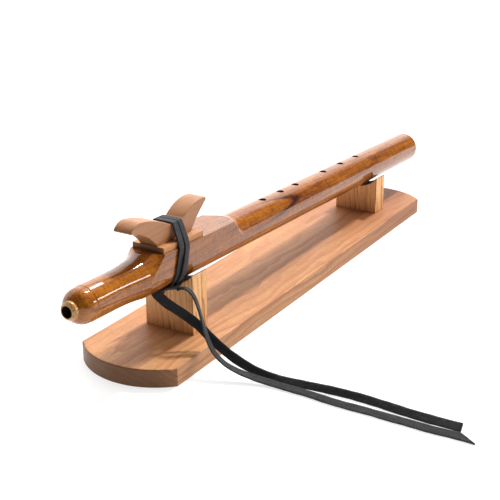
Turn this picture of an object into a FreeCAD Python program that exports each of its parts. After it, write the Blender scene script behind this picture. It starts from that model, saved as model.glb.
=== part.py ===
import FreeCAD, Part
import math
import os

import Sketcher
from FreeCAD import Placement, Rotation, Vector

# A block flute of varnished wood that lies in the cradles of its display stand.
# Row frame: +X from the mouth end to the foot, +Z up, origin on the board's underside, below the flute's axis.
# The flute has a frame of its own: X along its axis from the mouth tip, Z up through the finger holes.

doc = FreeCAD.newDocument("block_flute")
sheet = doc.addObject("Spreadsheet::Sheet", "sheet")

# Driving dimensions, in millimetres and degrees.
SIZES = {
    # stand
    "board_place": 8.5,
    "board_length": 533,
    "board_side_length": 495,
    "board_width": 96.5,
    "board_aside": 1.75,
    "board_thick": 16,
    "board_end_radius": 66.4,
    "board_edge_round": 1.2,
    "block_thick": 21,
    "block_width": 49,
    "front_block_place": -172.5,
    "front_block_tall": 53.5,
    "rear_block_place": 194.5,
    "rear_block_tall": 39.8,
    "cradle_radius": 32,
    "pad_thick": 1,
    "cradle_gap": 0.3,
    "screw_shank_radius": 2,
    "screw_head_radius": 4,
    "screw_head_deep": 2.4,
    "screw_long": 34,
    "screw_spacing": 26,
    # flute
    "tip_place": -316.8,
    "tip_height": 82.3,
    "flute_tilt": 2.2,
    "flute_length": 634,
    "tube_radius": 17.05,
    "bore_radius": 12.5,
    "bore_start": 141,
    "chamber_radius": 10.5,
    "chamber_start": 24,
    "chamber_end": 125,
    "neck_radius": 14.75,
    "neck_start": 25.5,
    "neck_end": 55.6,
    "flare_end": 88,
    "flare_radius": 229,
    "front_cove_end": 107.5,
    "front_cove_height": 26.2,
    "front_cove_radius": 36.8,
    "rear_cove_start": 209.5,
    "rear_cove_height": 28.3,
    "rear_cove_end": 228,
    "rear_cove_radius": 21,
    "nest_top": 18.6,
    "nest_stock_radius": 30,
    "foot_round": 1.4,
    "dome_start": 10.3,
    "dome_start_radius": 7.8,
    "dome_end": 21.6,
    "dome_end_radius": 14.4,
    "dome_arc_radius": 13,
    "groove_deep": 0.35,
    "groove_wide": 0.8,
    "groove_edge_radius": 14.55,
    "mouth_bore_radius": 4.8,
    "tenon_radius": 6.4,
    "nipple_start": 5.5,
    "nipple_radius": 7.7,
    "nipple_rim_radius": 6.5,
    "nipple_rim_long": 2.2,
    "nipple_chamfer": 0.8,
    "hole_radius": 3.8,
    "window_start": 155.5,
    "window_long": 6,
    "window_wide": 9,
    "exit_start": 116,
    "exit_long": 8,
    # spacer plate and bird block
    "spacer_start": 106.5,
    "spacer_long": 57,
    "spacer_wide": 31,
    "spacer_thick": 4.9,
    "flue_wide": 9,
    "bird_start": 107,
    "bird_gap": 0.1,
    "bird_wide": 17.6,
    "bird_round": 0.85,
    "saddle_height": 13.8,
    # leather strap
    "lace_wide": 6.6,
    "lace_thick": 1.8,
    "lace_gap": 0.3,
    "strap_top_place": 133.9,
    "strap_bottom_place": 121.3,
    "strap_top_height": 37.4,
    "knot_long": 13,
    "knot_wide": 11,
    "knot_deep": 7,
    "knot_round": 2.2,
    "knot_turned": 128,
    "cord_diameter": 3.6,
}
FINGER_HOLES = {"one": 289.6, "two": 324, "three": 354.5, "four": 415.5, "five": 455.9, "six": 494.2}

sizes = dict(SIZES)
sizes.update({"hole_place_" + name: place for name, place in FINGER_HOLES.items()})
for row, (alias, value) in enumerate(sizes.items(), start=1):
    sheet.set(f"A{row}", alias)
    sheet.set(f"B{row}", str(value))
    sheet.setAlias(f"B{row}", alias)
doc.recompute()


class Size:
    """A length that knows its value and the expression that gives it from the sheet."""

    def __init__(self, value, text):
        self.value = value
        self.text = text

    def __add__(self, other):
        other = as_size(other)
        return Size(self.value + other.value, f"({self.text} + {other.text})")

    def __sub__(self, other):
        other = as_size(other)
        return Size(self.value - other.value, f"({self.text} - {other.text})")

    def __mul__(self, number):
        return Size(self.value * number, f"({self.text} * {number})")

    def __neg__(self):
        return self * -1


def as_size(number):
    return number if isinstance(number, Size) else Size(float(number), f"({number})")


def cell(alias):
    return Size(float(sheet.get(alias)), f"sheet.{alias}")


def value(alias):
    return cell(alias).value


def bind(obj, **properties):
    """Bind each named property of obj to its size's expression."""
    for name, size in properties.items():
        obj.setExpression(name, as_size(size).text)
    return obj


def place(obj, x=0, y=0, z=0):
    """Put obj at a point, each coordinate bound to its size's expression."""
    for axis, size in zip("xyz", (x, y, z)):
        obj.setExpression(f"Placement.Base.{axis}", as_size(size).text)
    return obj


def seat(obj):
    """Put an object of the flute's own frame into the row frame: at the mouth tip, foot end lower."""
    obj.Placement = Placement(Vector(), Rotation(Vector(0, 1, 0), value("flute_tilt")))
    obj.setExpression("Placement.Rotation.Angle", "sheet.flute_tilt * 1 deg")
    return place(obj, cell("tip_place"), 0, cell("tip_height"))


def flute_frame():
    """The flute's frame as a placement."""
    return Placement(
        Vector(value("tip_place"), 0, value("tip_height")),
        Rotation(Vector(0, 1, 0), value("flute_tilt")),
    )


# Simple solids, with every size bound.
def box(name, length, width, height, x, y, z):
    solid = bind(doc.addObject("Part::Box", name), Length=length, Width=width, Height=height)
    return place(solid, x, y, z)


def cylinder(name, radius, height, direction=Vector(0, 0, 1), x=0, y=0, z=0):
    solid = bind(doc.addObject("Part::Cylinder", name), Radius=radius, Height=height)
    solid.Placement = Placement(Vector(), Rotation(Vector(0, 0, 1), direction))
    return place(solid, x, y, z)


def cut(name, base, tool):
    result = doc.addObject("Part::Cut", name)
    result.Base = base
    result.Tool = tool
    return result


def common(name, base, tool):
    result = doc.addObject("Part::Common", name)
    result.Base = base
    result.Tool = tool
    return result


def fuse(name, pieces):
    result = doc.addObject("Part::MultiFuse", name)
    result.Shapes = pieces
    return result


# Sketches: a closed outline of corners, joined by lines, or by arcs of a given radius.
def arc_centre(start, end, radius):
    """Centre of the arc from start to end; a positive radius bulges to the right of the way."""
    along = end - start
    half = along.Length / 2
    side = Vector(-along.y, along.x, 0).normalize()
    reach = math.sqrt(radius * radius - half * half)
    return (start + end) * 0.5 + side * math.copysign(reach, radius)


def add_outline(sketch, corners, radii):
    """Draw the outline; radii gives, by the number of the corner it starts at, each arc's radius."""
    points = [Vector(x.value, y.value, 0) for x, y in corners]
    for number, start in enumerate(points):
        end = points[(number + 1) % len(points)]
        if number in radii:
            radius = radii[number].value
            centre = arc_centre(start, end, radius)
            angles = [math.atan2(point.y - centre.y, point.x - centre.x) for point in (start, end)]
            if radius < 0:
                angles.reverse()
            circle = Part.Circle(centre, Vector(0, 0, 1), abs(radius))
            sketch.addGeometry(Part.ArcOfCircle(circle, *angles), False)
        else:
            sketch.addGeometry(Part.LineSegment(start, end), False)
    ends = []
    for number in range(len(points)):
        backwards = number in radii and radii[number].value < 0
        ends.append((2, 1) if backwards else (1, 2))
    for number, (x, y) in enumerate(corners):
        before = (number - 1) % len(points)
        start = ends[number][0]
        sketch.addConstraint(Sketcher.Constraint("Coincident", before, ends[before][1], number, start))
        for kind, size, axis in (("DistanceX", x, -2), ("DistanceY", y, -1)):
            if size.value == 0:
                sketch.addConstraint(Sketcher.Constraint("PointOnObject", number, start, axis))
            else:
                constraint = Sketcher.Constraint(kind, -1, 1, number, start, size.value)
                index = sketch.addConstraint(constraint)
                sketch.setExpression(f"Constraints[{index}]", size.text)
    for number, radius in radii.items():
        index = sketch.addConstraint(Sketcher.Constraint("Radius", number, abs(radius.value)))
        sign = -1 if radius.value < 0 else 1
        sketch.setExpression(f"Constraints[{index}]", (radius * sign).text)


def new_body(name, plane_role, corners, radii):
    """A body with one sketch on one of its own planes."""
    body = doc.addObject("PartDesign::Body", name)
    sketch = body.newObject("Sketcher::SketchObject", name + "_sketch")
    plane = next(feature for feature in body.Origin.OriginFeatures if feature.Role == plane_role)
    sketch.AttachmentSupport = (plane, [""])
    sketch.MapMode = "FlatFace"
    add_outline(sketch, [(as_size(x), as_size(y)) for x, y in corners], radii)
    return body, sketch


def pad(body, sketch, length, midplane=False):
    feature = body.newObject("PartDesign::Pad", body.Name + "_pad")
    feature.Profile = sketch
    feature.Midplane = midplane
    return bind(feature, Length=length)


def turn(body, sketch):
    """Turn the sketch a full circle about its horizontal axis."""
    feature = body.newObject("PartDesign::Revolution", body.Name + "_turning")
    feature.Profile = sketch
    feature.ReferenceAxis = (sketch, ["H_Axis"])
    feature.Angle = 360
    return feature


nodes = {}


def keep(obj, label):
    """List obj as a sub-part under its own name."""
    obj.Label = label
    nodes[label] = obj
    return obj


# ---------------------------------------------------------------- stand
def wood_screw(name, x, y):
    """A countersunk screw driven up from the board's underside into a block."""
    shank = cylinder(name + "_shank", cell("screw_shank_radius"), cell("screw_long"), x=x, y=y)
    head = doc.addObject("Part::Cone", name + "_head")
    bind(
        head,
        Radius1=cell("screw_head_radius"),
        Radius2=cell("screw_shank_radius"),
        Height=cell("screw_head_deep"),
    )
    place(head, x, y, 0)
    return fuse(name, [shank, head])


def stand_screws(name):
    screws = []
    for block_place in ("front_block_place", "rear_block_place"):
        for side in (-0.5, 0.5):
            number = len(screws) + 1
            screws.append(wood_screw(f"{name}_{number}", cell(block_place), cell("screw_spacing") * side))
    return fuse(name, screws)


def stand_board(screw_tool):
    middle = cell("board_place")
    half_side = cell("board_side_length") * 0.5
    right = cell("board_aside") - cell("board_width") * 0.5
    left = cell("board_aside") + cell("board_width") * 0.5
    corners = [
        (middle - half_side, right),
        (middle + half_side, right),
        (middle + half_side, left),
        (middle - half_side, left),
    ]
    radii = {1: cell("board_end_radius"), 3: cell("board_end_radius")}
    body, sketch = new_body("board_body", "XY_Plane", corners, radii)
    slab = pad(body, sketch, cell("board_thick"))
    doc.recompute()
    top = max(slab.Shape.Faces, key=lambda face: face.CenterOfMass.z)
    name = "Face" + str([face.isSame(top) for face in slab.Shape.Faces].index(True) + 1)
    rounding = body.newObject("PartDesign::Fillet", "board_round")
    rounding.Base = (slab, [name])
    bind(rounding, Radius=cell("board_edge_round"))
    keep(cut("board", body, screw_tool), "stand_board")


def cradle(name, block_place, tall, screw_tool):
    """A block scooped out parallel to the flute, and the leather pad that lines the scoop."""
    thick = cell("block_thick")
    width = cell("block_width")
    x = cell(block_place) - thick * 0.5
    block = box(name + "_stock", thick, width, cell(tall), x, -width * 0.5, cell("board_thick"))
    # The scoop's axis is parallel to the flute's, above it.
    rise = value("cradle_radius") - value("tube_radius") - value("cradle_gap") - value("pad_thick")
    tools = []
    for layer, radius in (("scoop", cell("cradle_radius")), ("pad", cell("cradle_radius") - cell("pad_thick"))):
        tool = bind(doc.addObject("Part::Cylinder", f"{name}_{layer}_tool"), Radius=radius)
        bind(tool, Height=cell("flute_length"))
        across = Placement(Vector(0, 0, rise), Rotation(Vector(0, 0, 1), Vector(1, 0, 0)))
        tool.Placement = flute_frame() * across
        tools.append(tool)
    scooped = cut(name + "_scooped", block, tools[0])
    keep(cut(name + "_bored", scooped, screw_tool), name)
    ring = cut(name + "_ring", tools[0], tools[1])
    stock = box(name + "_pad_stock", thick, width, cell(tall), x, -width * 0.5, cell("board_thick"))
    keep(common(name + "_pad_cut", ring, stock), name + "_pad")


# ---------------------------------------------------------------- flute
def flute_blank():
    """The outside of both halves: a turned spindle, cut back to a tube with a flat-topped nest."""
    tube = cell("tube_radius")
    corners = [
        (cell("dome_start"), 0),
        (cell("dome_start"), cell("dome_start_radius")),
        (cell("dome_end"), cell("dome_end_radius")),
        (cell("neck_start") - cell("groove_wide") * 2, cell("groove_edge_radius")),
        (cell("neck_start") - cell("groove_wide"), cell("neck_radius") - cell("groove_deep")),
        (cell("neck_start"), cell("neck_radius")),
        (cell("neck_end"), cell("neck_radius")),
        (cell("flare_end"), tube),
        (cell("front_cove_end"), cell("front_cove_height")),
        (cell("front_cove_end"), cell("nest_stock_radius")),
        (cell("rear_cove_start"), cell("nest_stock_radius")),
        (cell("rear_cove_start"), cell("rear_cove_height")),
        (cell("rear_cove_end"), tube),
        (cell("flute_length") - cell("foot_round"), tube),
        (cell("flute_length"), tube - cell("foot_round")),
        (cell("flute_length"), 0),
    ]
    radii = {
        1: -cell("dome_arc_radius"),
        6: cell("flare_radius"),
        7: cell("front_cove_radius"),
        11: cell("rear_cove_radius"),
        13: -cell("foot_round"),
    }
    body, sketch = new_body("spindle", "XZ_Plane", corners, radii)
    turn(body, sketch)
    section_corners = [
        (-tube, 0),
        (0, -tube),
        (tube, 0),
        (tube, cell("nest_top")),
        (-tube, cell("nest_top")),
    ]
    section, section_sketch = new_body("nest_section", "YZ_Plane", section_corners, {0: tube, 1: tube})
    pad(section, section_sketch, cell("flute_length"))
    return common("flute_blank", body, section)


def air_ways():
    """Everything hollow in the two halves: tenon hole, air chamber, bore, windows and finger holes."""
    along = Vector(1, 0, 0)
    start = cell("chamber_start")
    top = cell("nest_top") + 1
    width = cell("window_wide")
    hollows = [
        cylinder("tenon_hole", cell("tenon_radius"), start, along),
        cylinder("air_chamber", cell("chamber_radius"), cell("chamber_end") - start, along, x=start),
        cylinder(
            "sound_bore",
            cell("bore_radius"),
            cell("flute_length") - cell("bore_start") + 1,
            along,
            x=cell("bore_start"),
        ),
        box("chamber_exit", cell("exit_long"), width, top, cell("exit_start"), -width * 0.5, 0),
        box("sound_window", cell("window_long"), width, top, cell("window_start"), -width * 0.5, 0),
    ]
    for name in FINGER_HOLES:
        hollows.append(cylinder("finger_hole_" + name, cell("hole_radius"), top, x=cell("hole_place_" + name)))
    return fuse("air_ways", hollows)


def flute_halves():
    """Split the hollowed blank along its axis, as it is carved and glued."""
    carved = cut("carved_flute", flute_blank(), air_ways())
    reach = cell("nest_stock_radius")
    for name, bottom in (("upper", as_size(0)), ("lower", -reach)):
        half = box(name + "_space", cell("flute_length"), reach * 2, reach, 0, -reach, bottom)
        keep(seat(common(name + "_half", carved, half)), f"flute_{name}_half")


def mouthpiece():
    """A turned nipple with a tenon, glued into the end of the neck."""
    bore = cell("mouth_bore_radius")
    start = cell("nipple_start")
    corners = [
        (start, bore),
        (start, cell("nipple_rim_radius") - cell("nipple_chamfer")),
        (start + cell("nipple_chamfer"), cell("nipple_rim_radius")),
        (start + cell("nipple_rim_long"), cell("nipple_radius")),
        (cell("dome_start"), cell("nipple_radius")),
        (cell("dome_start"), cell("tenon_radius")),
        (cell("chamber_start"), cell("tenon_radius")),
        (cell("chamber_start"), bore),
    ]
    body, sketch = new_body("mouthpiece_body", "XZ_Plane", corners, {})
    turn(body, sketch)
    keep(seat(body), "mouthpiece")


# ---------------------------------------------------------------- spacer plate and bird block
def spacer_plate():
    """A thin plate on the nest, with the slot that carries the air to the splitting edge."""
    long = cell("spacer_long")
    wide = cell("spacer_wide")
    thick = cell("spacer_thick")
    plate = box("plate_stock", long, wide, thick, cell("spacer_start"), -wide * 0.5, cell("nest_top"))
    slot_end = cell("window_start") + cell("window_long")
    slot_long = slot_end - cell("exit_start")
    flue = cell("flue_wide")
    slot = box("flue_slot", slot_long, flue, thick, cell("exit_start"), -flue * 0.5, cell("nest_top"))
    keep(seat(cut("slotted_plate", plate, slot)), "spacer_plate")


def hollow_into_saddle(start, end, radius, hollow, floor):
    """Corners where a hollow arc touches the wing's top arc (start to end) and the saddle's floor."""
    centre = arc_centre(Vector(*start, 0), Vector(*end, 0), radius)
    rise = floor + hollow - centre.y
    run = math.sqrt((radius + hollow) ** 2 - rise**2)
    towards_saddle = math.copysign(run, SADDLE_MIDDLE - centre.x)
    share = radius / (radius + hollow)
    on_wing = (centre.x + towards_saddle * share, centre.y + rise * share)
    on_floor = (centre.x + towards_saddle, floor)
    return on_wing, on_floor


# The bird block's profile, from the front of its foot and its underside.
FOOT_FRONT = (0.5, 0)
FOOT_REAR = (48.8, 0)
REAR_UNDERSIDE_RADIUS = 120
REAR_TIP_LOW = (71.4, 22.4)
REAR_TIP = (70.6, 24.7)
SADDLE_MIDDLE = 26.5
REAR_WING_END = (37.6, 15.6)
REAR_WING_RADIUS = 41.7
REAR_HOLLOW = 6
FRONT_WING_END = (18.7, 13.8)
FRONT_CREST = (-21.5, 25.9)
FRONT_WING_RADIUS = 118
FRONT_HOLLOW = 4
FRONT_TIP = (-34, 19.8)
FRONT_TIP_RADIUS = 13.8
FRONT_TIP_LOW = (-33.3, 18.8)
FRONT_UNDERSIDE_RADIUS = 60


def bird_bottom():
    return cell("nest_top") + cell("spacer_thick") + cell("bird_gap")


def bird_block():
    """The carved block: two raised wings and a saddle for the strap, in profile, then softened edges."""
    saddle = value("saddle_height")
    rear = hollow_into_saddle(REAR_TIP, REAR_WING_END, REAR_WING_RADIUS, REAR_HOLLOW, saddle)
    front = hollow_into_saddle(FRONT_WING_END, FRONT_CREST, FRONT_WING_RADIUS, FRONT_HOLLOW, saddle)
    corners = [
        FOOT_FRONT,
        FOOT_REAR,
        REAR_TIP_LOW,
        REAR_TIP,
        rear[0],
        rear[1],
        front[1],
        front[0],
        FRONT_CREST,
        FRONT_TIP,
        FRONT_TIP_LOW,
    ]
    radii = {
        1: -REAR_UNDERSIDE_RADIUS,
        3: REAR_WING_RADIUS,
        4: -REAR_HOLLOW,
        6: -FRONT_HOLLOW,
        7: FRONT_WING_RADIUS,
        8: FRONT_TIP_RADIUS,
        10: -FRONT_UNDERSIDE_RADIUS,
    }
    start = cell("bird_start")
    bottom = bird_bottom()
    placed = [(start + x, bottom + y) for x, y in corners]
    rounds = {number: as_size(radius) for number, radius in radii.items()}
    body, sketch = new_body("bird_body", "XZ_Plane", placed, rounds)
    pad(body, sketch, cell("bird_wide"), midplane=True)
    doc.recompute()
    # The long edges on both sides are softened, except along the flat underside.
    stock = body.Tip
    side = value("bird_wide") / 2 - 0.01
    names = []
    for number, edge in enumerate(stock.Shape.Edges, start=1):
        ends = edge.BoundBox
        on_side = ends.YMin > side or ends.YMax < -side
        if on_side and ends.ZMax > bottom.value + 0.01:
            names.append(f"Edge{number}")
    softening = body.newObject("PartDesign::Fillet", "bird_softening")
    softening.Base = (stock, names)
    bind(softening, Radius=cell("bird_round"))
    keep(seat(body), "bird_block")


# ---------------------------------------------------------------- leather strap
def strap_outline(offset):
    """The strap's path round bird, plate, nest and tube, in the plane across the flute."""
    half_bird = value("bird_wide") / 2
    plate_top = value("nest_top") + value("spacer_thick")
    tube = value("tube_radius")
    radius = tube + offset
    saddle_top = bird_bottom().value + value("saddle_height") + offset
    plate_side = value("spacer_wide") / 2 + offset
    right_side = [
        Vector(0, -half_bird - offset, saddle_top),
        Vector(0, -plate_side, plate_top + offset),
        Vector(0, -radius, value("nest_top")),
        Vector(0, -radius, 0),
    ]
    left_side = [Vector(0, -point.y, point.z) for point in reversed(right_side)]
    edges = [Part.Arc(right_side[-1], Vector(0, 0, -radius), left_side[0]).toShape()]
    loop = left_side + right_side
    edges += [Part.makeLine(start, end) for start, end in zip(loop, loop[1:])]
    return Part.Face(Part.Wire(edges))


def strap_turn(name, ahead):
    """One turn of the flat lace: a leaning slice of the band, ahead of the strap's middle or behind it."""
    reach = 3 * value("strap_top_height")
    inner = strap_outline(value("lace_gap"))
    outer = strap_outline(value("lace_gap") + value("lace_thick"))
    band = outer.cut(inner).extrude(Vector(2 * reach, 0, 0))
    band.translate(Vector(value("strap_bottom_place") - reach, 0, 0))
    # The slice leans back towards the top.
    bottom = -value("tube_radius")
    lean = value("strap_top_place") - value("strap_bottom_place")
    rise = value("strap_top_height") - bottom
    angle = math.degrees(math.atan2(lean, rise))
    wide = value("lace_wide") * math.cos(math.radians(angle))
    slab = Part.makeBox(wide, 2 * reach, 2 * reach, Vector(ahead * wide, -reach, -reach))
    slab.rotate(Vector(), Vector(0, 1, 0), angle)
    slab.translate(Vector(value("strap_bottom_place"), 0, bottom))
    feature = doc.addObject("Part::Feature", name + "_band")
    feature.Shape = band.common(slab)
    keep(seat(feature), name)


def strap_knot():
    """The knot's closed outer shape, on the tube's lower right side."""
    outer = value("tube_radius") + value("lace_gap") + value("lace_thick")
    long = value("knot_long")
    wide = value("knot_wide")
    middle = value("strap_bottom_place")
    knot = Part.makeBox(long, wide, value("knot_deep"), Vector(-long / 2, -wide / 2, outer - 1))
    knot = knot.makeFillet(value("knot_round"), knot.Edges)
    knot.rotate(Vector(), Vector(1, 0, 0), value("knot_turned"))
    knot.translate(Vector(middle, 0, 0))
    ring = Part.makeCylinder(outer, 4 * long, Vector(middle - 2 * long, 0, 0), Vector(1, 0, 0))
    feature = doc.addObject("Part::Feature", "knot_solid")
    feature.Shape = knot.cut(ring)
    keep(seat(feature), "strap_knot")


def cord_tube(name, route):
    """A round tube along straight runs joined by tangent arcs, standing for the flat lace."""
    points = [Vector(*point) for point in route]
    edges = []
    radii = []
    last = points[0]
    for before, corner, after in zip(points, points[1:], points[2:]):
        into = (corner - before).normalize()
        out = (after - corner).normalize()
        turn_angle = into.getAngle(out)
        reach = 0.45 * min((corner - before).Length, (after - corner).Length)
        radius = reach / math.tan(turn_angle / 2)
        radii.append(round(radius, 1))
        start = corner - into * reach
        end = corner + out * reach
        bisector = (out - into).normalize()
        centre = corner + bisector * (radius / math.cos(turn_angle / 2))
        middle = centre - bisector * radius
        edges.append(Part.LineSegment(last, start).toShape())
        edges.append(Part.Arc(start, middle, end).toShape())
        last = end
    edges.append(Part.LineSegment(last, points[-1]).toShape())
    path = Part.Wire(edges)
    radius = value("cord_diameter") / 2
    first = (points[1] - points[0]).normalize()
    section = Part.Wire(Part.Circle(points[0], first, radius).toShape())
    tube = path.makePipeShell([section], True, True)
    feature = doc.addObject("Part::Feature", name + "_tube")
    feature.Shape = tube
    keep(feature, name)
    wanted = math.pi * radius * radius * path.Length
    runs = [round((b - a).Length, 1) for a, b in zip(points, points[1:])]
    print(name, "length", round(path.Length, 1), "radii", radii, "least", min(radii))
    print(name, "runs", runs, "volume over section times length", round(tube.Volume / wanted, 4))


# Routes in the row frame: out from under the flute, down past the board's edge and along the floor.
WIDE_TAIL = [
    (-202.5, -7.5, 60.5),
    (-199.8, -12.5, 52),
    (-196.6, -19.5, 44.2),
    (-194.6, -29, 37.4),
    (-195.2, -40, 31.8),
    (-197.2, -51, 26),
    (-197.6, -62, 19.4),
    (-197.4, -73, 12.8),
    (-196.4, -86, 6.8),
    (-195.4, -101, 3.2),
    (-193.4, -119, 2.1),
    (-189.9, -138, 1.9),
    (-187, -159, 1.85),
    (-186, -181, 1.85),
    (-187.4, -203, 1.85),
    (-188.9, -224, 1.85),
    (-189.2, -244, 1.85),
    (-188.4, -264.4, 1.85),
]
NARROW_TAIL = [
    (-193.2, -18.6, 62.2),
    (-192.9, -25.6, 63),
    (-192.9, -32, 58.6),
    (-194.2, -37.4, 50),
    (-196.8, -42.6, 40),
    (-201.2, -49.2, 30.2),
    (-206, -58.2, 20.4),
    (-207.8, -68.8, 13.6),
    (-206.6, -80.6, 8.8),
    (-203.4, -93.6, 5.2),
    (-200.8, -108, 2.9),
    (-200.2, -124, 2),
    (-199.8, -141, 1.85),
    (-201.2, -158.6, 1.85),
    (-201.6, -176, 1.85),
    (-200.6, -193.6, 1.85),
    (-201, -211.6, 1.85),
    (-200.6, -229.6, 1.85),
    (-200.9, -247.4, 1.85),
    (-198.9, -263.6, 1.85),
    (-199.2, -279.4, 1.85),
]

screws = keep(stand_screws("screws"), "block_screws")
stand_board(screws)
cradle("front_cradle", "front_block_place", "front_block_tall", screws)
cradle("rear_cradle", "rear_block_place", "rear_block_tall", screws)
flute_halves()
mouthpiece()
spacer_plate()
bird_block()
strap_turn("strap_turn_front", -1)
strap_turn("strap_turn_rear", 0)
strap_knot()
cord_tube("strap_tail_wide", WIDE_TAIL)
cord_tube("strap_tail_narrow", NARROW_TAIL)

# ---------------------------------------------------------------- checks and files
doc.recompute()
faults = []
for obj in doc.Objects:
    if {"Invalid", "Error"} & set(obj.State):
        faults.append(f"{obj.Name} has state {obj.State}")
for name, obj in nodes.items():
    if obj.Shape.isNull() or not obj.Shape.isValid() or not obj.Shape.Solids:
        faults.append(f"{name} has no valid solid")
if faults:
    raise SystemExit("; ".join(faults))

os.makedirs("parts", exist_ok=True)
for name, obj in nodes.items():
    obj.Shape.exportStep(f"parts/{name}.step")
    bounds = obj.Shape.BoundBox
    low = [round(v, 1) for v in (bounds.XMin, bounds.YMin, bounds.ZMin)]
    high = [round(v, 1) for v in (bounds.XMax, bounds.YMax, bounds.ZMax)]
    print(name, len(obj.Shape.Solids), "solids", round(obj.Shape.Volume), "mm3", low, high)
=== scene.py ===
import math

import bmesh
import bpy
from mathutils import Matrix, Vector


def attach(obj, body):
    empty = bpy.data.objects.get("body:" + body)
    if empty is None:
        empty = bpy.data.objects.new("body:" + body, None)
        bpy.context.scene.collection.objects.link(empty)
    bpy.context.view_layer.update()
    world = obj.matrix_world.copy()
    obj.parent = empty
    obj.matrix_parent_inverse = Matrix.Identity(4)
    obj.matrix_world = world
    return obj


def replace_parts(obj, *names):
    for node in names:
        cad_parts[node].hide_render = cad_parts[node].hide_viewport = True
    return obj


# A varnished block flute on its display stand, with a black lace tied round its bird block.
# Row frame, in metres: +X from the mouth end to the foot, +Z up, origin on the board's underside,
# below the flute's axis.

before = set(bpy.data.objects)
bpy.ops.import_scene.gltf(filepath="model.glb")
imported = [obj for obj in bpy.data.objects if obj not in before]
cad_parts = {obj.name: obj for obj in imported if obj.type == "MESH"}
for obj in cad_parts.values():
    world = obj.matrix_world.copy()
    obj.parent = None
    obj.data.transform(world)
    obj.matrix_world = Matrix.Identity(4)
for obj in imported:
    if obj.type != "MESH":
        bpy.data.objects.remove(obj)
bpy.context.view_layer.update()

MM = 0.001

# Sizes in millimetres.
TUBE_RADIUS = 17.05
FRONT_CRADLE_PLACE = -172.5
REAR_CRADLE_PLACE = 194.5
# The dark pointed figure: its tip's place along the flute, its turn from the top towards the
# right, how fast the rings rise out of the wood there, and how far off the wood the ring is.
FIGURE_PLACE = 322
FIGURE_TURN = math.radians(48)
FIGURE_SLOPE = 0.045
FIGURE_OFF = 0.14

# The flute's own frame: X along its axis from the mouth tip, Z up through the finger holes.
FLUTE_TIP = Vector((-316.8, 0, 82.3)) * MM
FLUTE_TILT = math.radians(2.2)
FLUTE = Matrix.Translation(FLUTE_TIP) @ Matrix.Rotation(FLUTE_TILT, 4, "Y")


def on_flute(along, across, up):
    """A point of the flute's own frame, given in millimetres, in the row frame."""
    return FLUTE @ (Vector((along, across, up)) * MM)


# ---------------------------------------------------------------- materials
# The attribute that says where a point of the lace lies: along it, across it and outward.
LACE_RUN = "lace_run"
# How often each layer of the textures repeats per metre: along the grain, then both ways across.
RING_DRIFT = (6, 22, 22)
RING_WAVER = (28, 120, 120)
FINE_FIBRES = (40, 2600, 2600)
STREAKS = (9, 420, 420)
BROAD_PATCHES = (4, 60, 60)
PORE_DASHES = (230, 3400, 3400)
WOVEN_FIGURE = (260, 90, 90)
SPECKLES = (420, 900, 900)
LACE_CREASES = (22, 330, 0)
LACE_BANDS = (55, 330, 0)
STEEL_SCUFFS = (900, 900, 250)


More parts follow.
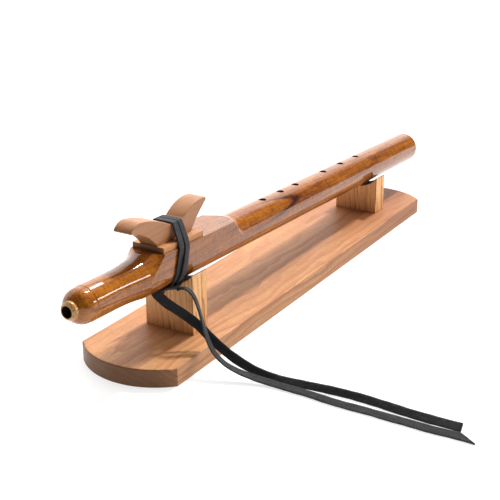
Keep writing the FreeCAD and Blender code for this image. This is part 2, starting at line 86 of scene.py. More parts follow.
class Paint:
    """A material under construction. Each method adds a node and gives back its output."""

    def __init__(self, name):
        self.material = bpy.data.materials.new(name)
        self.material.use_nodes = True
        self.tree = self.material.node_tree
        self.shader = self.tree.nodes["Principled BSDF"]

    def feed(self, socket, source):
        """Link an output to a socket, or set the socket's own value."""
        if isinstance(source, bpy.types.NodeSocket):
            self.tree.links.new(source, socket)
        else:
            socket.default_value = source

    def node(self, kind, output=0, settings=None, **inputs):
        node = self.tree.nodes.new("ShaderNode" + kind)
        for key, setting in (settings or {}).items():
            setattr(node, key, setting)
        for key, source in inputs.items():
            self.feed(node.inputs[key.replace("_", " ")], source)
        return node.outputs[output]

    def math(self, operation, first, second=0.0, third=0.0):
        node = self.tree.nodes.new("ShaderNodeMath")
        node.operation = operation
        for socket, source in zip(node.inputs, (first, second, third)):
            self.feed(socket, source)
        return node.outputs[0]

    def vector(self, operation, first, second=(0, 0, 0)):
        node = self.tree.nodes.new("ShaderNodeVectorMath")
        node.operation = operation
        self.feed(node.inputs[0], first)
        self.feed(node.inputs[1], second)
        return node.outputs["Value" if operation == "DOT_PRODUCT" else "Vector"]

    def place(self):
        """Object coordinates, which are the row frame's."""
        return self.node("TexCoord", output=3)

    def turned(self, point, matrix):
        """Coordinates in the frame whose matrix is given."""
        inverse = matrix.inverted()
        node = self.tree.nodes.new("ShaderNodeMapping")
        self.feed(node.inputs["Vector"], point)
        node.inputs["Location"].default_value = inverse.translation
        node.inputs["Rotation"].default_value = inverse.to_euler()
        return node.outputs[0]

    def stretched(self, point, scale):
        return self.vector("MULTIPLY", point, scale)

    def noise(self, point, scale=1.0, detail=3.0, roughness=0.55, distortion=0.0):
        return self.node(
            "TexNoise",
            Vector=point,
            Scale=scale,
            Detail=detail,
            Roughness=roughness,
            Distortion=distortion,
        )

    def smooth(self, source, low, high, to_low=0.0, to_high=1.0):
        """The source, faded from one range to another."""
        node = self.tree.nodes.new("ShaderNodeMapRange")
        node.interpolation_type = "SMOOTHSTEP"
        span = {"From Min": low, "From Max": high, "To Min": to_low, "To Max": to_high}
        for key, given in {"Value": source, **span}.items():
            self.feed(node.inputs[key], given)
        return node.outputs[0]

    def ramp(self, source, stops):
        """A colour ramp through (place, colour) stops."""
        node = self.tree.nodes.new("ShaderNodeValToRGB")
        elements = node.color_ramp.elements
        while len(elements) < len(stops):
            elements.new(0.5)
        for element, (at, colour) in zip(elements, stops):
            element.position = at
            element.color = (*colour, 1)
        self.feed(node.inputs[0], source)
        return node.outputs[0]

    def mix(self, amount, first, second):
        node = self.tree.nodes.new("ShaderNodeMix")
        node.data_type = "RGBA"
        for number, source in ((0, amount), (6, first), (7, second)):
            if isinstance(source, tuple):
                source = (*source, 1)
            self.feed(node.inputs[number], source)
        return node.outputs[2]

    def finish(self, **inputs):
        """Feed the shader's sockets and give back the material."""
        for key, source in inputs.items():
            if isinstance(source, tuple) and len(source) == 3 and "Color" in key:
                source = (*source, 1)
            self.feed(self.shader.inputs[key.replace("_", " ")], source)
        return self.material

    def bump(self, height, strength, distance):
        return self.node("Bump", Height=height, Strength=strength, Distance=distance)


def grain_frame(origin, along, outward):
    """The frame of a piece's grain: X along the fibres, Z towards the bark."""
    x = Vector(along).normalized()
    z = Vector(outward)
    z = (z - x * z.dot(x)).normalized()
    y = z.cross(x)
    turn = Matrix((x, y, z)).transposed().to_4x4()
    return Matrix.Translation(Vector(origin)) @ turn


def late_wood(paint, point, parts, ring_gap, ring_bend, wobble, sharp, palest_year):
    """How much of the wood is dark latewood, in rings round a pith that lies ring_bend behind."""
    drift = paint.noise(paint.stretched(point, RING_DRIFT), detail=2.0)
    drift_two = paint.noise(paint.stretched(point, RING_WAVER), detail=2.0)
    from_pith = paint.math("ADD", parts["Z"], ring_bend)
    across = paint.math("MULTIPLY", parts["Y"], parts["Y"])
    distance = paint.math("SQRT", paint.math("MULTIPLY_ADD", from_pith, from_pith, across))
    shift = paint.math("MULTIPLY", paint.math("SUBTRACT", drift, 0.5), wobble * 6)
    shift_two = paint.math("MULTIPLY", paint.math("SUBTRACT", drift_two, 0.5), wobble * 1.2)
    distance = paint.math("ADD", paint.math("ADD", distance, shift), shift_two)
    phase = paint.math("DIVIDE", paint.math("SUBTRACT", distance, ring_bend), ring_gap)
    ring = paint.math("FRACT", phase)
    # Earlywood is pale and latewood darkens slowly to a sharp edge.
    late = paint.smooth(ring, 0.35, 0.93, 0.0, 1.0 - sharp)
    if sharp:
        late = paint.math("ADD", late, paint.smooth(ring, 0.84, 0.94, 0.0, sharp))
    edge = paint.smooth(ring, 0.95, 1.0, 1.0, 0.0)
    # Each year's latewood is as dark as its number says.
    number = paint.math("FLOOR", phase)
    year = paint.node("TexWhiteNoise", settings={"noise_dimensions": "1D"}, W=number)
    late = paint.math("MULTIPLY", late, edge)
    return paint.math("MULTIPLY", late, paint.smooth(year, 0, 1, palest_year, 1))


def rings_shown(paint, parts, ring_reach):
    """1 where the rings show: on one stretch of the length, near the frame's middle plane."""
    (low, full), (fading, gone), (near, far) = ring_reach
    shown = paint.math(
        "MULTIPLY",
        paint.smooth(parts["X"], low, full, 0.2, 1.0),
        paint.smooth(parts["X"], fading, gone, 1.0, 0.25),
    )
    sideways = paint.math("ABSOLUTE", parts["Y"])
    return paint.math("MULTIPLY", shown, paint.smooth(sideways, near, far, 1.0, 0.2))


def darker(colour, share):
    """A colour times a share."""
    return tuple(channel * share for channel in colour)


def wood(
    name,
    grain,
    light,
    middle,
    dark,
    ring_gap,
    ring_bend,
    ring_strength,
    wobble=0.0015,
    fibre_strength=0.35,
    pore_strength=0.3,
    mottle=0.0,
    speckle=0.0,
    patch=0.3,
    roughness=0.5,
    coat=0.0,
    coat_roughness=0.1,
    relief=0.00008,
    end_grain_and_shade=0.0,
    gloss=0.5,
    sharp=0.0,
    palest_year=0.35,
    ring_reach=None,
    deeper=None,
    shaded_bore=0.0,
):
    """Wood whose growth rings, fibres, pores and figure follow one grain frame through the solid.

    Lengths are in metres. ring_bend is how far behind the piece the pith lies, so the rings show
    as arcs on end grain. ring_reach limits the rings to one stretch. deeper is a (start, end,
    amount) change of tone along the grain. end_grain_and_shade darkens faces across the grain,
    partly as the cut fibres' own colour and partly as painted shade. stained is the radius of a
    bore whose wall is painted near black, as painted shade inside the hole.
    """
    paint = Paint(name)
    point = paint.turned(paint.place(), grain)
    split = paint.tree.nodes.new("ShaderNodeSeparateXYZ")
    paint.feed(split.inputs[0], point)
    parts = split.outputs
    late = late_wood(paint, point, parts, ring_gap, ring_bend, wobble, sharp, palest_year)
    if ring_reach:
        late = paint.math("MULTIPLY", late, rings_shown(paint, parts, ring_reach))
    # Fibres: long fine streaks of three sizes.
    fine = paint.noise(paint.stretched(point, FINE_FIBRES), detail=4.0, roughness=0.6)
    streak = paint.noise(paint.stretched(point, STREAKS), detail=4.0, roughness=0.65)
    broad = paint.noise(paint.stretched(point, BROAD_PATCHES), detail=3.0)
    fibres = paint.math(
        "MULTIPLY_ADD", paint.math("SUBTRACT", streak, 0.5), 1.3, paint.math("SUBTRACT", fine, 0.5)
    )
    # Pores: short dark dashes, denser in earlywood.
    dash = paint.noise(paint.stretched(point, PORE_DASHES), detail=1.0)
    pores = paint.smooth(dash, 0.60, 0.72)
    pores = paint.math("MULTIPLY", pores, paint.smooth(late, 0, 0.8, 1, 0.35))
    tone = paint.math("MULTIPLY", late, ring_strength)
    tone = paint.math("MULTIPLY_ADD", fibres, fibre_strength, tone)
    tone = paint.math("MULTIPLY_ADD", paint.math("SUBTRACT", broad, 0.5), patch, tone)
    if mottle:
        # Figure: bands across the grain, broken up, as in wood whose fibres weave.
        wave = paint.noise(paint.stretched(point, WOVEN_FIGURE), detail=3.0, distortion=0.8)
        tone = paint.math("MULTIPLY_ADD", paint.math("SUBTRACT", wave, 0.5), mottle, tone)
    if speckle:
        grains = paint.noise(paint.stretched(point, SPECKLES), detail=3.0, roughness=0.7)
        tone = paint.math("MULTIPLY_ADD", paint.math("SUBTRACT", grains, 0.5), speckle, tone)
    if deeper:
        start, end, amount = deeper
        tone = paint.math("ADD", tone, paint.smooth(parts["X"], start, end, 0.0, amount))
    tone = paint.math("ADD", tone, 0.3)
    colour = paint.ramp(tone, [(0.0, light), (0.45, middle), (1.0, dark)])
    colour = paint.mix(paint.math("MULTIPLY", pores, pore_strength), colour, darker(dark, 0.35))
    if end_grain_and_shade:
        # Faces across the grain are darker, partly because cut fibres drink the finish and partly
        # as painted shade.
        normal = paint.node("TexCoord", output=1)
        along = tuple(grain.to_3x3().col[0])
        facing = paint.math("ABSOLUTE", paint.vector("DOT_PRODUCT", normal, along))
        colour = paint.mix(
            paint.smooth(facing, 0.45, 0.9, 0.0, end_grain_and_shade), colour, darker(middle, 0.3)
        )
    if shaded_bore:
        # Painted shade: the wall of the bore, which runs along the grain frame's X axis, is
        # painted near black as the shade inside the hole.
        across = paint.math("MULTIPLY", parts["Y"], parts["Y"])
        radius = paint.math("SQRT", paint.math("MULTIPLY_ADD", parts["Z"], parts["Z"], across))
        wall = paint.smooth(radius, shaded_bore * 1.01, shaded_bore * 1.06, 0.93, 0.0)
        colour = paint.mix(wall, colour, (0.008, 0.006, 0.008))
    height = paint.math("MULTIPLY_ADD", fibres, 0.5, paint.math("MULTIPLY", pores, -1.0))
    height = paint.math("MULTIPLY_ADD", late, 0.3, height)
    rough = paint.math("MULTIPLY_ADD", paint.math("SUBTRACT", streak, 0.5), 0.25, roughness)
    rough = paint.math("MULTIPLY_ADD", pores, 0.12, rough)
    return paint.finish(
        Base_Color=colour,
        Roughness=rough,
        Normal=paint.bump(height, 1.0, relief),
        Coat_Weight=coat,
        Coat_Roughness=coat_roughness,
        Specular_IOR_Level=gloss,
    )


def flute_wood():
    """Amber and red-brown varnished wood, with a dark pointed figure on the tube's right side."""
    # The rings face up and to the right and rise slowly towards the foot, so one ends in a point.
    side = Vector((0, -math.sin(FIGURE_TURN), math.cos(FIGURE_TURN)))
    outward = FLUTE.to_3x3() @ side
    tip = on_flute(FIGURE_PLACE, side.y * TUBE_RADIUS, side.z * TUBE_RADIUS)
    origin = tip + outward * FIGURE_OFF * MM
    along = FLUTE.to_3x3() @ Vector((1, 0, 0)) + outward * FIGURE_SLOPE
    return wood(
        "flute_wood",
        grain_frame(origin, along, outward),
        light=(0.44, 0.15, 0.010),
        middle=(0.205, 0.050, 0.0045),
        dark=(0.040, 0.008, 0.003),
        ring_gap=0.0085,
        ring_bend=0.09,
        ring_strength=0.85,
        ring_reach=((-0.135, -0.105), (0.075, 0.14), (0.0072, 0.0115)),
        wobble=0.0003,
        fibre_strength=0.75,
        pore_strength=0.6,
        mottle=0.55,
        speckle=0.85,
        deeper=(-0.235, -0.295, -0.06),
        patch=0.7,
        roughness=0.42,
        coat=1.0,
        coat_roughness=0.05,
        relief=0.00005,
        gloss=0.05,
        sharp=0.8,
        palest_year=0.85,
    )


def mouthpiece_wood():
    grain = grain_frame(on_flute(0, 0, 0), FLUTE.to_3x3() @ Vector((1, 0, 0)), (0, 1, 0))
    return wood(
        "mouthpiece_wood",
        grain,
        light=(0.74, 0.42, 0.14),
        middle=(0.44, 0.22, 0.06),
        dark=(0.15, 0.062, 0.018),
        # The bore's wall is painted near black: painted shade inside the hole.
        shaded_bore=0.0048,
        ring_gap=0.0016,
        ring_bend=0.03,
        ring_strength=0.35,
        fibre_strength=0.5,
        speckle=0.9,
        roughness=0.4,
        coat=0.8,
        coat_roughness=0.1,
        gloss=0.2,
    )


def bird_wood():
    along = FLUTE.to_3x3() @ Vector((1, 0, 0.06))
    grain = grain_frame(on_flute(130, 0, 20), along, (0.1, 0.5, 0.9))
    return wood(
        "bird_wood",
        grain,
        light=(0.47, 0.225, 0.10),
        middle=(0.38, 0.165, 0.068),
        dark=(0.21, 0.075, 0.028),
        ring_gap=0.0042,
        ring_bend=0.05,
        ring_strength=0.2,
        fibre_strength=0.22,
        pore_strength=0.25,
        patch=0.35,
        roughness=0.42,
        coat=0.25,
        coat_roughness=0.3,
        relief=0.00004,
        gloss=0.2,
        # The darker end faces are partly painted shade.
        end_grain_and_shade=0.45,
    )


def spacer_wood():
    grain = grain_frame(on_flute(130, 0, 20), FLUTE.to_3x3() @ Vector((1, 0, 0)), (0, 0.8, 0.6))
    return wood(
        "spacer_wood",
        grain,
        light=(0.60, 0.29, 0.11),
        middle=(0.49, 0.21, 0.075),
        dark=(0.30, 0.11, 0.035),
        ring_gap=0.0028,
        ring_bend=0.04,
        ring_strength=0.35,
        roughness=0.5,
        coat=0.2,
        coat_roughness=0.35,
        # The darker end faces are partly painted shade.
        end_grain_and_shade=0.8,
        gloss=0.3,
    )


def board_wood():
    """Cherry-like board, flat sawn, grain along its length."""
    grain = grain_frame((-0.05, 0.012, 0.0), (1, 0.015, 0.035), (0, -0.25, 1))
    return wood(
        "board_wood",
        grain,
        light=(0.66, 0.365, 0.165),
        middle=(0.44, 0.192, 0.078),
        dark=(0.27, 0.092, 0.034),
        ring_gap=0.0062,
        ring_bend=0.07,
        ring_strength=0.3,
        wobble=0.0045,
        fibre_strength=0.32,
        pore_strength=0.35,
        mottle=0.22,
        patch=0.6,
        deeper=(0.10, 0.27, 0.34),
        roughness=0.48,
        coat=0.12,
        coat_roughness=0.35,
        relief=0.00006,
        # The darker end faces are partly painted shade.
        end_grain_and_shade=0.85,
        gloss=0.2,
    )


def cradle_wood(name, place):
    """Oak-like block with upright grain."""
    grain = grain_frame((place, 0.03, 0.03), (0.02, 0.03, 1), (1, -0.35, 0))
    return wood(
        name,
        grain,
        light=(1.0, 0.62, 0.29),
        middle=(0.84, 0.43, 0.165),
        dark=(0.24, 0.085, 0.028),
        ring_gap=0.0044,
        ring_bend=0.03,
        ring_strength=0.42,
        wobble=0.005,
        fibre_strength=0.75,
        pore_strength=0.6,
        patch=0.7,
        roughness=0.55,
        relief=0.0001,
    )


def leather(name, colour, worn_and_sheen, cell_scale, roughness, sheen, strip=False):
    """Leather: fine cells of grain under greyer, rubbed high spots; a strip also has creases. On
    the lace the high spots are tinted blue as painted sheen.
    """
    paint = Paint(name)
    point = paint.place()
    cells = paint.node(
        "TexVoronoi", settings={"feature": "DISTANCE_TO_EDGE"}, Vector=point, Scale=cell_scale
    )
    cells = paint.smooth(cells, 0.0, 0.25)
    waves = paint.noise(point, scale=cell_scale * 0.35, detail=4.0)
    # Greyer high spots: rubbed leather, and on the lace also a blue tint that is painted sheen.
    wear_and_sheen = paint.smooth(paint.noise(point, scale=170, detail=5.0, roughness=0.65), 0.45, 0.7)
    height = paint.math("MULTIPLY_ADD", waves, 0.8, cells)
    if strip:
        run = paint.node("Attribute", output=1, settings={"attribute_name": LACE_RUN})
        creases = paint.noise(paint.stretched(run, LACE_CREASES), detail=4.0, roughness=0.6)
        crease = paint.smooth(creases, 0.34, 0.5)
        height = paint.math("MULTIPLY_ADD", crease, 1.3, height)
        bands = paint.noise(paint.stretched(run, LACE_BANDS), detail=3.0)
        wear_and_sheen = paint.math("MULTIPLY", wear_and_sheen, paint.smooth(bands, 0.35, 0.65))
        wear_and_sheen = paint.math("MULTIPLY", wear_and_sheen, crease)
    rough = paint.math("MULTIPLY_ADD", wear_and_sheen, -0.1, roughness)
    rough = paint.math("MULTIPLY_ADD", waves, 0.15, rough)
    return paint.finish(
        Base_Color=paint.mix(wear_and_sheen, colour, worn_and_sheen),
        Roughness=rough,
        Normal=paint.bump(height, 0.7, 0.00016),
        Sheen_Weight=sheen,
        Sheen_Roughness=0.4,
    )


def steel():
    """Turned screw steel with fine scuffs."""
    paint = Paint("screw_steel")
    scuffs = paint.noise(paint.stretched(paint.place(), STEEL_SCUFFS), detail=5.0)
    return paint.finish(
        Base_Color=paint.mix(scuffs, (0.42, 0.41, 0.38), (0.62, 0.61, 0.58)),
        Metallic=1.0,
        Roughness=paint.smooth(scuffs, 0.2, 0.8, 0.28, 0.5),
        Normal=paint.bump(scuffs, 0.4, 0.00003),
    )


def dress(node, material):
    """Give a CAD node its material."""
    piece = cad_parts[node]
    piece.data.materials.clear()
    piece.data.materials.append(material)


# ---------------------------------------------------------------- leather lace
LACE_WIDE = 6.8 * MM
LACE_THICK = 1.8 * MM
SECTION_STEPS = 24
# Powers of the section's outline: 1 is an ellipse, and less is squarer.
SIDE_ROUNDING = 0.45
FACE_ROUNDING = 0.7
# How far the strip is dished across its width.
DISH = 0.16 * MM
# The slanted end: its length, and where across the half width its tip lies.
END_CUT = 13 * MM
TIP_SIDE = -0.8
# A knife leaves the edges uneven: waves as (share of the width, length in mm, start).
EDGE_WAVES = [(0.02, 4.3, 0), (0.015, 1.9, 1)]
# The direction that the free ends' flat sides mostly look in.
LACE_FACING = Vector((-0.8, -0.48, 0.36))

# The second colour, of the high spots, is tinted blue as painted sheen on top of rubbing.
lace_leather = leather(
    "lace_leather",
    (0.0042, 0.0046, 0.008),
    (0.015, 0.017, 0.031),
    2600,
    roughness=0.5,
    sheen=0.08,
    strip=True,
)


def line_along(route):
    """Points along the smooth line whose control points are given, in metres."""
    curve = bpy.data.curves.new("line", "CURVE")
    curve.dimensions = "3D"
    curve.resolution_u = 12
    spline = curve.splines.new("NURBS")
    spline.points.add(len(route) - 1)
    for item, point in zip(spline.points, route):
        item.co = (*point, 1)
    spline.order_u = 3
    spline.use_endpoint_u = True
    piece = bpy.data.objects.new("line", curve)
    bpy.context.scene.collection.objects.link(piece)
    mesh = bpy.data.meshes.new_from_object(piece)
    line = [vertex.co.copy() for vertex in mesh.vertices]
    bpy.data.objects.remove(piece)
    bpy.data.curves.remove(curve)
    bpy.data.meshes.remove(mesh)
    return line


def travel(line):
    """How far along the line each of its points lies."""
    travelled = [0.0]
    for before, after in zip(line, line[1:]):
        travelled.append(travelled[-1] + (after - before).length)
    return travelled


def between(keys, place):
    """A value read from (place, value) keys, eased between them."""
    if place <= keys[0][0]:
        return keys[0][1]
    for (start, first), (end, second) in zip(keys, keys[1:]):
        if place <= end:
            part = (place - start) / (end - start)
            part = part * part * (3 - 2 * part)
            return first + (second - first) * part
    return keys[-1][1]


def tangent(line, number, closed=False):
    """The way that the line runs at one of its points."""
    before = line[number - 1] if closed or number else line[number]
    after = line[(number + 1) % len(line)] if closed or number + 1 < len(line) else line[number]
    return (after - before).normalized()


def turned_faces(line, keys):
    """Each point's outer side, turned about the line by (share of the length, degrees) keys."""
    travelled = travel(line)
    faces = []
    for number in range(len(line)):
        along = tangent(line, number)
        face = (LACE_FACING - along * LACE_FACING.dot(along)).normalized()
        turn = math.radians(between(keys, travelled[number] / travelled[-1]))
        faces.append(face * math.cos(turn) + along.cross(face) * math.sin(turn))
    return faces


def section_point(number):
    """One corner of the lace's section, across and outward: a flat strip with softened edges."""
    angle = 2 * math.pi * number / SECTION_STEPS
    across = math.copysign(abs(math.cos(angle)) ** SIDE_ROUNDING, math.cos(angle))
    outward = math.copysign(abs(math.sin(angle)) ** FACE_ROUNDING, math.sin(angle))
    return across * LACE_WIDE / 2, outward * LACE_THICK / 2


def add_lace(shell, line, faces, closed=False, pointed=False, wide=((0, 1.0),)):
    """Add a flat lace along a line to a shell of (vertices, polygons, runs)."""
    vertices, polygons, runs = shell
    travelled = travel(line)
    count = len(line)
    base = len(vertices)
    for number, point in enumerate(line):
        along = tangent(line, number, closed)
        face = (faces[number] - along * faces[number].dot(along)).normalized()
        side = face.cross(along)
        place = travelled[number] / MM
        scale = between(wide, travelled[number] / travelled[-1])
        scale *= 1 + sum(deep * math.sin(place / long + start) for deep, long, start in EDGE_WAVES)
        left = travelled[-1] - travelled[number]
        limit = 1.0
        if pointed and left < END_CUT:
            limit = TIP_SIDE + (1 - TIP_SIDE) * left / END_CUT
        for step in range(SECTION_STEPS):
            across, outward = section_point(step)
            across = min(across, limit * LACE_WIDE / 2)
            dish = -DISH * (1 - (across / LACE_WIDE * 2) ** 2)
            vertices.append(point + side * (across * scale) + face * (outward + dish))
            runs.append((travelled[number], across, outward))
    for number in range(count if closed else count - 1):
        for step in range(SECTION_STEPS):
            ahead = (step + 1) % SECTION_STEPS
            first = base + number * SECTION_STEPS
            second = base + (number + 1) % count * SECTION_STEPS
            polygons.append((first + step, first + ahead, second + ahead, second + step))
    if not closed:
        last = base + (count - 1) * SECTION_STEPS
        polygons.append(tuple(reversed(range(base, base + SECTION_STEPS))))
        polygons.append(tuple(range(last, last + SECTION_STEPS)))


def lace_piece(name, shell):
    """One piece of lace made of a shell's strips, riding on the flute."""
    vertices, polygons, runs = shell
    mesh = bpy.data.meshes.new(name)
    mesh.from_pydata(vertices, [], polygons)
    mesh.validate()
    run = mesh.attributes.new(LACE_RUN, "FLOAT_VECTOR", "POINT")
    for item, given in zip(run.data, runs):
        item.vector = given
    build = bmesh.new()
    build.from_mesh(mesh)
    bmesh.ops.recalc_face_normals(build, faces=build.faces)
    build.to_mesh(mesh)
    build.free()
    mesh.shade_smooth()
    mesh.materials.append(lace_leather)
    piece = bpy.data.objects.new(name, mesh)
    bpy.context.scene.collection.objects.link(piece)
    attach(piece, "flute")
    return piece


# What the strap goes round, on one side: corners as (across, up, rounding, first and last way out,
# in degrees from straight up), from the saddle to the plate, the nest and the tube.
STRAP_CORNERS = [
    (8.0, 36.6, 0.8, 0, 64.3),
    (15.5, 23.5, 0, 64.3, 72.4),
    (TUBE_RADIUS, 18.6, 0, 72.4, 90),
    (0, 0, TUBE_RADIUS, 90, 180),
]
# The strap's gap off the wood and the spacing of its points on flats, in mm, the spacing round
# corners, in degrees, and how many times its line is softened.
STRAP_GAP = 0.12
STRAP_STEP = 1.2
CORNER_STEP = 6
STRAP_SOFTENING = 3
# Each strand's place along the flute by its height, on the right and on the left, and how far its
# middle stands off the wood by its height.
STRANDS = {
    "strap_turn_front": {
        "piece": "lace_front_turn",
        "right": [
            (-17, 118.4),
            (-13, 120.6),
            (-8, 122.2),
            (0, 123.5),
            (6, 125.1),
            (18, 127.8),
            (38, 130.1),
        ],
        "left": [(-17, 118.4), (0, 121.5), (18, 126.5), (38, 130.1)],
        "lift": [(-20, 0.0), (38, 0.0)],
    },
    "strap_turn_rear": {
        "piece": "lace_rear_turn",
        "right": [
            (-17, 123.6),
            (-13, 124.6),
            (-8, 126.6),
            (0, 129.2),
            (6, 131.6),
            (18, 135.8),
            (38, 137.3),
        ],
        "left": [(-17, 123.6), (0, 128.5), (18, 133.6), (38, 137.3)],
        "lift": [(6, 1.85), (20, 0.1), (38, 0.0)],
    },
}


def strap_round(offset):
    """One side of the outline, offset mm off the wood, as (across, up, degrees from up)."""
    outline = []
    for across, up, rounding, first, last in STRAP_CORNERS:
        steps = max(3, round((last - first) / CORNER_STEP))
        for step in range(steps + 1):
            angle = first + (last - first) * step / steps
            reach = rounding + offset
            turn = math.radians(angle)
            outline.append((across + reach * math.sin(turn), up + reach * math.cos(turn), angle))
    return outline


def evened(outline, gap):
    """The outline with points added in its long runs."""
    result = []
    for first, second in zip(outline, outline[1:]):
        steps = max(1, round(math.dist(first[:2], second[:2]) / gap))
        for step in range(steps):
            result.append(tuple(a + (b - a) * step / steps for a, b in zip(first, second)))
    return result + [outline[-1]]


def softened(loop):
    """A closed loop of vectors with each moved towards the middle of its neighbours."""
    behind = loop[-1:] + loop[:-1]
    ahead = loop[1:] + loop[:1]
    return [(before + here * 2 + after) / 4 for before, here, after in zip(behind, loop, ahead)]


def strand(name):
    """One closed turn of the strap."""
    facts = STRANDS[name]
    outline = evened(strap_round(STRAP_GAP + LACE_THICK / MM / 2), STRAP_STEP)
    line = []
    faces = []
    sides = [(-1, "right", list(reversed(outline))), (1, "left", outline)]
    for sign, side, points in sides:
        for across, up, angle in points[:-1]:
            turn = math.radians(angle)
            lift = between(facts["lift"], up)
            out = Vector((0, sign * math.sin(turn), math.cos(turn)))
            place = between(facts[side], up)
            line.append(on_flute(place, sign * across + out.y * lift, up + out.z * lift))
            faces.append(FLUTE.to_3x3() @ out)
    # Leather doesn't kink.
    for _ in range(STRAP_SOFTENING):
        line = softened(line)
        faces = softened(faces)
    shell = ([], [], [])
    add_lace(shell, line, faces, closed=True)
    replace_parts(lace_piece(facts["piece"], shell), name)


for name in STRANDS:
    strand(name)

WIDE_TAIL = [
    (-0.2092, -0.0068, 0.0602),
    (-0.2072, -0.0125, 0.0538),
    (-0.2026, -0.0200, 0.0475),
    (-0.1980, -0.0292, 0.0405),
    (-0.1960, -0.0400, 0.0335),
    (-0.1972, -0.0510, 0.0260),
    (-0.1976, -0.0620, 0.0200),
    (-0.1974, -0.0730, 0.0142),
    (-0.1964, -0.0860, 0.0088),
    (-0.1954, -0.1010, 0.0052),
    (-0.1934, -0.1190, 0.0038),
    (-0.1899, -0.1380, 0.0034),
    (-0.1870, -0.1590, 0.0033),
    (-0.1860, -0.1810, 0.0033),
    (-0.1874, -0.2030, 0.0033),
    (-0.1889, -0.2240, 0.0033),
    (-0.1892, -0.2440, 0.0033),
    (-0.1884, -0.2644, 0.0033),
]
NARROW_TAIL = [
    (-0.1962, -0.0176, 0.0612),
    (-0.1938, -0.0206, 0.0632),
    (-0.1930, -0.0266, 0.0630),
    (-0.1931, -0.0325, 0.0584),
    (-0.1942, -0.0374, 0.0500),
    (-0.1968, -0.0426, 0.0400),
    (-0.2012, -0.0492, 0.0302),
    (-0.2060, -0.0582, 0.0204),
    (-0.2078, -0.0688, 0.0136),
    (-0.2066, -0.0806, 0.0088),
    (-0.2034, -0.0936, 0.0052),
    (-0.2008, -0.1080, 0.0030),
    (-0.2002, -0.1240, 0.0024),
    (-0.1998, -0.1410, 0.0023),
    (-0.2012, -0.1586, 0.0023),
    (-0.2016, -0.1760, 0.0023),
    (-0.2006, -0.1936, 0.0023),
    (-0.2010, -0.2116, 0.0023),
    (-0.2006, -0.2296, 0.0023),
    (-0.2009, -0.2474, 0.0023),
    (-0.1989, -0.2636, 0.0023),
    (-0.1992, -0.2794, 0.0023),
]
TAILS = {
    "strap_tail_wide": {
        "piece": "lace_wide_tail",
        "route": WIDE_TAIL,
        "length": 0.277,
        "turns": [(0, 0), (0.35, 0), (0.48, -16), (0.7, -12), (0.85, -14), (1, -22)],
        "wide": [(0, 1.22), (0.3, 1.16), (0.45, 1.0), (1, 1.06)],
        "pointed": False,
    },
    "strap_tail_narrow": {
        "piece": "lace_narrow_tail",
        "route": NARROW_TAIL,
        "length": 0.291,
        "turns": [
            (0, -62),
            (0.03, -60),
            (0.07, -72),
            (0.12, -80),
            (0.17, -66),
            (0.26, -67),
            (0.4, -46),
            (0.7, -42),
            (1, -40),
        ],
        "wide": [(0, 0.4), (0.02, 0.55), (0.06, 0.9), (0.1, 1.0)],
        "pointed": True,
    },
}
for name, facts in TAILS.items():
    facts["line"] = line_along(facts["route"])
    facts["faces"] = turned_faces(facts["line"], facts["turns"])
    shell = ([], [], [])
    add_lace(shell, facts["line"], facts["faces"], pointed=facts["pointed"], wide=facts["wide"])
    tail = lace_piece(facts["piece"], shell)
    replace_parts(tail, name)


def round_tube(along, degrees, reach):
    """A point beside the tube, from its place along, its degrees to the right and its radius."""
    turn = math.radians(degrees)
    return on_flute(along, -reach * math.sin(turn), reach * math.cos(turn))


def out_of_tube(point):
    """The way straight out from the flute's axis at a point."""
    local = FLUTE.inverted() @ point
    return FLUTE.to_3x3() @ Vector((0, local.y, local.z))


# The hitch: the lace's end comes down under the rear strand, and its other end crosses over both
# strands, and goes forward under the tube to the wide tail.
HITCH_UNDER = [
    (134.4, 62, 19.6),
    (134.6, 72, 18.1),
    (133.6, 88, 18.1),
    (131.2, 104, 18.1),
    (127.6, 118, 18.2),
    (124.6, 128, 19.4),
]
HITCH_OVER = [
    (130.6, 124, 18.4),
    (129.6, 125, 20.6),
    (126.0, 127, 22.6),
    (121.0, 130, 22.4),
    (117.0, 134, 20.2),
    (114.0, 140, 18.9),
    (112.6, 150, 18.7),
    (113.0, 160, 19.6),
]


def hitch():
    """The lace's two short passes where the strap is tied, as one piece."""
    shell = ([], [], [])
    under = line_along([round_tube(*point) for point in HITCH_UNDER])
    add_lace(shell, under, [out_of_tube(point) for point in under])
    tail = TAILS["strap_tail_wide"]
    start = tail["line"][0]
    before = start - (tail["line"][1] - start).normalized() * 2 * MM
    over = line_along([round_tube(*point) for point in HITCH_OVER] + [before, start])
    travelled = travel(over)
    faces = []
    for point, place in zip(over, travelled):
        share = between([(0, 0.0), (0.6, 0.0), (1, 1.0)], place / travelled[-1])
        faces.append(out_of_tube(point).normalized() * (1 - share) + tail["faces"][0] * share)
    add_lace(shell, over, faces, wide=[(0, 0.8), (0.5, 0.85), (1, 1.22)])
    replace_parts(lace_piece("lace_hitch", shell), "strap_knot")


hitch()

# ---------------------------------------------------------------- the CAD nodes' materials
flute_material = flute_wood()
for node in ("flute_upper_half", "flute_lower_half"):
    dress(node, flute_material)
dress("mouthpiece", mouthpiece_wood())
dress("bird_block", bird_wood())
dress("spacer_plate", spacer_wood())
dress("stand_board", board_wood())
dress("front_cradle", cradle_wood("front_cradle_wood", FRONT_CRADLE_PLACE * MM))
dress("rear_cradle", cradle_wood("rear_cradle_wood", REAR_CRADLE_PLACE * MM))
# The pads are dark partly as a lining and partly as painted shade between the tube and the
# cradles.
pad_leather_and_shade = leather(
    "cradle_leather", (0.035, 0.022, 0.016), (0.09, 0.06, 0.045), 1500, roughness=0.6, sheen=0.2
)
for node in ("front_cradle_pad", "rear_cradle_pad"):
    dress(node, pad_leather_and_shade)
dress("block_screws", steel())

# ---------------------------------------------------------------- floor, light and camera
# Places and sizes in metres.
FLOOR_HALF = 9.0
SUN_PLACE = (2.456, -0.104, 3.156)
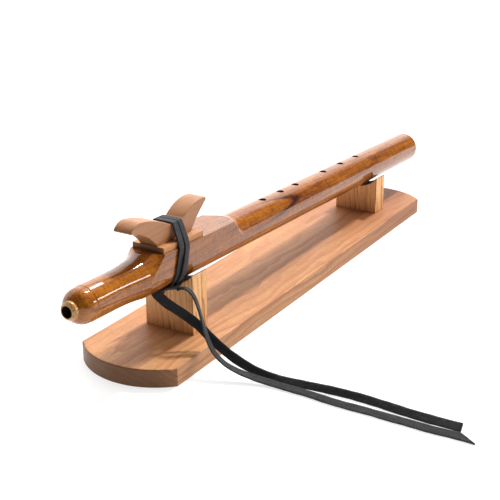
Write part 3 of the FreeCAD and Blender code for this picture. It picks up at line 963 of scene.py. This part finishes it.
# Each panel's name, watts, colour, place, width, height, and whether it shows in reflections.
PANELS = [
    ("overhead", 62, (1.0, 0.98, 0.97), (1.0, 0.3, 2.8), 2.6, 2.6, False),
    ("beside", 22, (1.0, 0.99, 0.97), (1.3, -2.3, 0.9), 1.4, 1.4, False),
    # These two make the bright strips along the varnished neck.
    ("high_box", 20, (1.0, 0.99, 0.98), (2.16, 0.38, 2.05), 0.66, 0.66, True),
    ("low_box", 18, (1.0, 0.99, 1.0), (2.17, -2.25, 0.80), 1.3, 0.3, True),
]
# The brightest part of the room, as a direction from the object.
BRIGHT_WALL = Vector((0.55, 0.80, 0.25)).normalized()
# The camera's place, its turn from +X towards +Y, its tilt, and its lens in mm.
CAMERA_PLACE = Vector((-833.6, -469.9, 398.7)) * MM
CAMERA_YAW = 0.54
CAMERA_PITCH = -0.37
CAMERA_LENS = 74.37


def floor():
    """A wide pale floor at the height of the board's underside."""
    mesh = bpy.data.meshes.new("floor")
    far = FLOOR_HALF
    corners = [(-far, -far, 0), (far, -far, 0), (far, far, 0), (-far, far, 0)]
    mesh.from_pydata(corners, [], [(0, 1, 2, 3)])
    paint = Paint("floor")
    cloudy = paint.noise(paint.place(), scale=3.0)
    mesh.materials.append(
        paint.finish(
            Base_Color=paint.mix(cloudy, (0.34, 0.34, 0.345), (0.36, 0.36, 0.36)),
            Roughness=0.9,
            Emission_Color=(1, 1, 1),
            Emission_Strength=0.74,
        )
    )
    piece = bpy.data.objects.new("floor", mesh)
    bpy.context.scene.collection.objects.link(piece)


def add_light(name, kind, energy, colour, place):
    """A light at a place, looking at the origin."""
    data = bpy.data.lights.new(name, kind)
    data.energy = energy
    data.color = colour
    lamp = bpy.data.objects.new(name, data)
    lamp.location = place
    lamp.rotation_euler = (-Vector(place)).to_track_quat("-Z", "Y").to_euler()
    bpy.context.scene.collection.objects.link(lamp)
    return lamp


def lights():
    """A soft-edged sun and the studio's panels."""
    sun = add_light("sun", "SUN", 3.0, (1.0, 0.97, 0.93), SUN_PLACE)
    sun.data.angle = math.radians(6)
    for name, watts, colour, place, wide, tall, seen in PANELS:
        panel = add_light(name, "AREA", watts, colour, place)
        panel.data.shape = "RECTANGLE"
        panel.data.size = wide
        panel.data.size_y = tall
        panel.visible_glossy = seen


def surroundings():
    """A dim room with one broad bright wall, behind the object on its left."""
    world = bpy.data.worlds.new("studio")
    bpy.context.scene.world = world
    world.use_nodes = True
    tree = world.node_tree
    back = tree.nodes["Background"]
    where = tree.nodes.new("ShaderNodeTexCoord").outputs["Generated"]
    facing = tree.nodes.new("ShaderNodeVectorMath")
    facing.operation = "DOT_PRODUCT"
    tree.links.new(where, facing.inputs[0])
    facing.inputs[1].default_value = BRIGHT_WALL
    fade = tree.nodes.new("ShaderNodeMapRange")
    fade.interpolation_type = "SMOOTHSTEP"
    span = {"From Min": 0.42, "From Max": 0.8, "To Min": 0.06, "To Max": 1.6}
    for key, given in span.items():
        fade.inputs[key].default_value = given
    tree.links.new(facing.outputs["Value"], fade.inputs["Value"])
    tree.links.new(fade.outputs[0], back.inputs["Strength"])
    back.inputs["Color"].default_value = (1.0, 0.985, 0.98, 1)


def camera():
    """The camera, level, looking down on the mouth end."""
    data = bpy.data.cameras.new("camera")
    data.lens = CAMERA_LENS
    data.sensor_width = 36
    data.clip_end = 50
    piece = bpy.data.objects.new("camera", data)
    level = Vector((math.cos(CAMERA_YAW), math.sin(CAMERA_YAW), 0))
    ahead = level * math.cos(CAMERA_PITCH) + Vector((0, 0, math.sin(CAMERA_PITCH)))
    right = Vector((math.sin(CAMERA_YAW), -math.cos(CAMERA_YAW), 0))
    turn = Matrix((right, right.cross(ahead), -ahead)).transposed().to_4x4()
    piece.matrix_world = Matrix.Translation(CAMERA_PLACE) @ turn
    bpy.context.scene.collection.objects.link(piece)
    bpy.context.scene.camera = piece


floor()
surroundings()
lights()
camera()
bpy.context.scene.view_settings.view_transform = "Standard"
